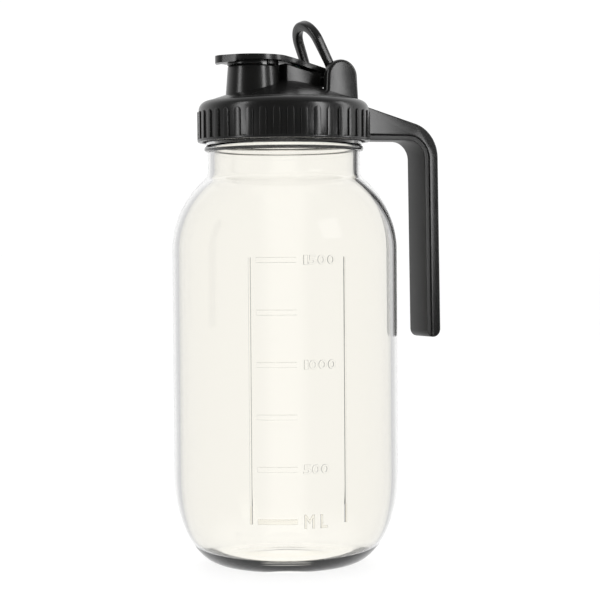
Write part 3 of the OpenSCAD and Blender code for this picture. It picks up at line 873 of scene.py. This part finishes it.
class PITCHER_OT_cap(bpy.types.Operator):
    """Mould the flip cap: plate, thumb lip, skirt, arm and barrel."""

    bl_idname = "pitcher.cap"
    bl_label = "Flip Cap"

    def execute(self, context):
        s = context.scene.cap_sizes
        plan = bmesh.new()
        join = math.degrees(math.acos((s.arm_half + s.blend) / (s.head + s.blend)))
        blend_x = SPOUT_X + (s.head + s.blend) * math.sin(math.radians(join))
        thumb = 0.009
        thumb_x = s.tip + thumb
        reach = SPOUT_X - thumb_x
        touch = math.degrees(math.acos((s.head - thumb) / reach))
        ring = [(blend_x, s.arm_half)]
        ring += arc((blend_x, s.arm_half + s.blend), s.blend, 270, 270 - join, 12)[1:]
        ring += arc((SPOUT_X, 0), s.head, 90 - join, 180 - touch, 40)[1:]
        ring += arc((thumb_x, 0), thumb, 180 - touch, 180 + touch, 20)
        ring += arc((SPOUT_X, 0), s.head, 180 + touch, 270 + join, 40)
        ring += arc((blend_x, -s.arm_half - s.blend), s.blend, 90 + join, 90, 12)[1:]
        ring += [(HINGE.x, -s.arm_half), (HINGE.x, s.arm_half)]
        deep, above, wide = 0.02, 0.001, 0.03
        bar_between(plan, ring, s.top - deep, s.top + above)
        side = bmesh.new()
        lower = cap_edge(s, s.thickness)
        lip_depth, lip_end, lip_run = 0.0012, 0.0045, 0.0016
        lip = [(s.tip - CAP_PAST, s.top - s.thickness - lip_depth)]
        lip += arc((s.tip + lip_end, s.top - s.thickness), (lip_run, lip_depth), -90, 0, 5)
        slab(side, cap_edge(s, 0) + lower[:0:-1] + lip[::-1], -wide, wide)
        plate = combine(plan, side, "INTERSECT")
        plate_edge, skirt_edge, skirt_wall, gap = 0.0009, 0.00025, 0.0016, 7.3
        boss_r, boss_depth = 0.0045, 0.0024
        round_edges(plate, sharp_rims(plate, 55), plate_edge, 4)
        skirt_low, skirt_top = SEAL_HIGH[2] + ROOTED, s.top - s.thickness + ROOTED
        for start in (-87, 33, 153):
            part = bmesh.new()
            section = [(s.skirt - skirt_wall, skirt_low), (s.skirt, skirt_low)]
            section += [(s.skirt, skirt_top), (s.skirt - skirt_wall, skirt_top)]
            face = outline(part, section)
            bmesh.ops.spin(
                part, geom=face + list(part.edges) + list(part.verts), cent=(0, 0, 0),
                axis=(0, 0, 1), angle=math.radians(120 - 2 * gap), steps=36,
            )
            clean(part)
            round_edges(part, sharp_rims(part, 60), skirt_edge, 2)
            turned(part, start + gap, "Z")
            add(plate, moved(part, x=SPOUT_X))
        boss = cylinder(boss_r, SEAL_HIGH[2] - boss_depth, skirt_top, 48)
        add(plate, moved(boss, x=SPOUT_X))
        barrel = turned(cylinder(s.barrel, -s.arm_half, s.arm_half, 64, 0.0006), 90, "X")
        add(plate, moved(barrel, x=HINGE.x, z=HINGE.z))
        piece = to_object("cap_flip", plate, finish("satin_black"), smooth=35)
        place(piece, "cap", "black_plastic", "flip_cap")
        return {"FINISHED"}


class PITCHER_OT_loop(bpy.types.Operator):
    """Mould the carry loop."""

    bl_idname = "pitcher.loop"
    bl_label = "Carry Loop"

    def execute(self, context):
        s = context.scene.loop_sizes
        centre = s.reach - s.end
        hole = s.end - s.bar
        outer_turn = math.degrees(math.asin((s.outer - s.end) / centre))
        outer = [(s.outer, 0)] + arc((0, centre), s.end, outer_turn, 180 - outer_turn, 36)
        outer += [(-s.outer, 0)]
        straight, edge, eye_half = 0.009, 0.0013, 0.0025
        inner_turn = math.degrees(math.atan2(s.inner - hole, centre - straight))
        inner = [(-s.inner, 0), (-s.inner, straight)]
        inner += arc((0, centre), hole, 180 - inner_turn, inner_turn, 32)
        inner += [(s.inner, straight), (s.inner, 0)]
        bm = bmesh.new()
        slab(bm, outer + inner, -s.thickness / 2, s.thickness / 2)
        rims = [e for e in sharp_rims(bm, 40) if abs(e.verts[0].co.y - e.verts[1].co.y) < 1e-6]
        round_edges(bm, rims, edge, 4)
        turned(bm, 90, "Z")
        for side in (-1, 1):
            middle = side * (s.inner + s.outer) / 2
            eye = turned(cylinder(s.eye, -eye_half, eye_half, 48, 0.0005), 90, "X")
            add(bm, moved(eye, y=middle))
        turned(bm, -math.degrees(s.lean), "Y")
        moved(bm, x=HINGE.x, z=HINGE.z)
        piece = to_object("loop_carry", bm, finish("satin_black"), smooth=40)
        place(piece, "loop", "black_plastic", "carry_loop")
        return {"FINISHED"}


class PITCHER_OT_seals(bpy.types.Operator):
    """Finish the seals and the hinge pin."""

    bl_idname = "pitcher.seals"
    bl_label = "Seals and Pin"

    def execute(self, context):
        for name in ("rim_gasket", "spout_seal", "vent_seal", "hinge_pin"):
            node = frame["nodes"][name]
            node.data.materials.clear()
            node.data.materials.append(finish("drawn_steel" if name == "hinge_pin" else "seal_silicone"))
        return {"FINISHED"}


def dot(tree, socket, direction):
    """How far a vector reaches along a direction."""
    node = tree.nodes.new("ShaderNodeVectorMath")
    node.operation = "DOT_PRODUCT"
    node.inputs[1].default_value = direction
    tree.links.new(socket, node.inputs[0])
    return node.outputs["Value"]


def combined(tree, operation, *values):
    """Math on sockets or plain numbers."""
    node = tree.nodes.new("ShaderNodeMath")
    node.operation = operation
    for slot, value in zip(node.inputs, values):
        if isinstance(value, (int, float)):
            slot.default_value = value
        else:
            tree.links.new(value, slot)
    return node.outputs["Value"]


def soft_step(tree, value, low, high, start, end):
    """A soft change from start to end while the value goes from low to high."""
    node = tree.nodes.new("ShaderNodeMapRange")
    node.interpolation_type = "SMOOTHSTEP"
    for name, number in (("From Min", low), ("From Max", high), ("To Min", start), ("To Max", end)):
        node.inputs[name].default_value = number
    tree.links.new(value, node.inputs["Value"])
    return node.outputs["Result"]


def studio_world(back):
    """A white room that is a little darker to the sides, and dim in front where gloss mirrors it."""
    world = bpy.data.worlds.new("studio")
    world.use_nodes = True
    tree = world.node_tree
    ray = tree.nodes.new("ShaderNodeTexCoord").outputs["Generated"]
    behind = soft_step(tree, dot(tree, ray, back), -0.3, 0.7, 0.07, 1.04)
    below = soft_step(tree, dot(tree, ray, Vector((0, 0, -1))), 0.3, 0.7, 0, 0.95)
    mirrored = combined(tree, "MAXIMUM", behind, below)
    aside = combined(tree, "ABSOLUTE", dot(tree, ray, Vector((back.y, -back.x, 0))))
    seen = soft_step(tree, aside, 0.2, 0.5, 1.04, 0.6)
    rays = tree.nodes.new("ShaderNodeLightPath")
    pick = tree.nodes.new("ShaderNodeMix")
    outside = combined(tree, "SUBTRACT", 1, rays.outputs["Is Transmission Ray"])
    mirror = combined(tree, "MULTIPLY", rays.outputs["Is Glossy Ray"], outside)
    tree.links.new(mirror, pick.inputs["Factor"])
    tree.links.new(seen, pick.inputs["A"])
    tree.links.new(mirrored, pick.inputs["B"])
    tree.nodes["Background"].inputs["Color"].default_value = (1, 1, 1, 1)
    tree.links.new(pick.outputs["Result"], tree.nodes["Background"].inputs["Strength"])
    return world


class PITCHER_OT_stage(bpy.types.Operator):
    """Set the floor, the lights and the camera."""

    bl_idname = "pitcher.stage"
    bl_label = "Stage"

    def execute(self, context):
        scene = context.scene
        scene.view_settings.view_transform = "Standard"
        s = scene.stage_sizes
        back = Vector((math.sin(s.bearing), math.cos(s.bearing), 0))
        bm = bmesh.new()
        half, middle = 40, Vector((0, 0, 0.14))
        bmesh.ops.create_grid(bm, x_segments=1, y_segments=1, size=half)
        material, _, shader = new_material("pale_floor")
        shader.inputs["Base Color"].default_value = (*scene.jar_finishes.floor, 1)
        shader.inputs["Roughness"].default_value = 0.6
        shader.inputs["Emission Color"].default_value = (1, 1, 1, 1)
        shader.inputs["Emission Strength"].default_value = 0.7
        floor = to_object("floor", bm, material)
        floor.visible_glossy = False
        floor.visible_transmission = False
        scene.world = studio_world(back)
        opaque = bpy.data.collections.new("opaque")
        glass = bpy.data.collections.new("glass")
        for piece in scene.objects:
            if piece.name == "jar_glass":
                glass.objects.link(piece)
            elif piece.type == "MESH":
                opaque.objects.link(piece)
        for name, spot, width, height, power in (
            ("top", Vector((0, 0, 1.6)) + 0.2 * back, 2.6, 2.6, 6),
            ("key", Vector((0.48, -1.12, 0.42)), 0.24, 1.0, 7.5),
            ("window", Vector((0.48, -1.12, 0.7)), 0.5, 0.5, 0.4),
            ("right", Vector((1.1, -0.55, 0.4)), 0.22, 1.2, 5),
            ("left", Vector((-1.15, -0.08, 0.42)), 0.22, 1.2, 6),
        ):
            lamp = bpy.data.lights.new(name, "AREA")
            lamp.shape = "RECTANGLE"
            lamp.size, lamp.size_y = width, height
            lamp.energy = power
            light = bpy.data.objects.new(name, lamp)
            facing = (middle - spot).to_track_quat("-Z", "Y").to_matrix().to_4x4()
            light.matrix_world = Matrix.Translation(spot) @ facing
            light.visible_camera = False
            light.light_linking.receiver_collection = glass if name == "window" else opaque
            scene.collection.objects.link(light)
        data = bpy.data.cameras.new("camera")
        data.sensor_width = 36
        data.lens = s.lens
        data.clip_end = 50
        camera = bpy.data.objects.new("camera", data)
        spot = -back * s.distance + Vector((0, 0, s.height))
        heading = -s.bearing - s.aim_right
        camera.matrix_world = (
            Matrix.Translation(spot)
            @ Matrix.Rotation(heading, 4, "Z")
            @ Matrix.Rotation(math.pi / 2 - s.aim_down, 4, "X")
            @ Matrix.Rotation(s.roll, 4, "Z")
        )
        scene.collection.objects.link(camera)
        scene.camera = camera
        return {"FINISHED"}


class PITCHER_PT_panel(bpy.types.Panel):
    """Buttons for each piece, in the 3D view's sidebar."""

    bl_idname = "PITCHER_PT_panel"
    bl_label = "Pitcher Jar"
    bl_space_type = "VIEW_3D"
    bl_region_type = "UI"
    bl_category = "Pitcher Jar"

    def draw(self, context):
        for operator in OPERATORS:
            self.layout.operator(operator.bl_idname)


GROUPS = {
    "jar_sizes": JarSizes,
    "scale_sizes": ScaleSizes,
    "band_sizes": BandSizes,
    "handle_sizes": HandleSizes,
    "lid_sizes": LidSizes,
    "cap_sizes": CapSizes,
    "loop_sizes": LoopSizes,
    "jar_finishes": Finishes,
    "stage_sizes": StageSizes,
}
OPERATORS = (
    PITCHER_OT_jar,
    PITCHER_OT_band,
    PITCHER_OT_handle,
    PITCHER_OT_lid,
    PITCHER_OT_cap,
    PITCHER_OT_loop,
    PITCHER_OT_seals,
    PITCHER_OT_stage,
)


def register():
    for group in GROUPS.values():
        bpy.utils.register_class(group)
    for operator in OPERATORS:
        bpy.utils.register_class(operator)
    bpy.utils.register_class(PITCHER_PT_panel)
    for name, group in GROUPS.items():
        setattr(bpy.types.Scene, name, PointerProperty(type=group))


def unregister():
    for name in GROUPS:
        delattr(bpy.types.Scene, name)
    bpy.utils.unregister_class(PITCHER_PT_panel)
    for cls in (*OPERATORS, *GROUPS.values()):
        bpy.utils.unregister_class(cls)


def main():
    register()
    for operator in OPERATORS:
        group, name = operator.bl_idname.split(".")
        getattr(getattr(bpy.ops, group), name)()


if __name__ == "__main__":
    main()
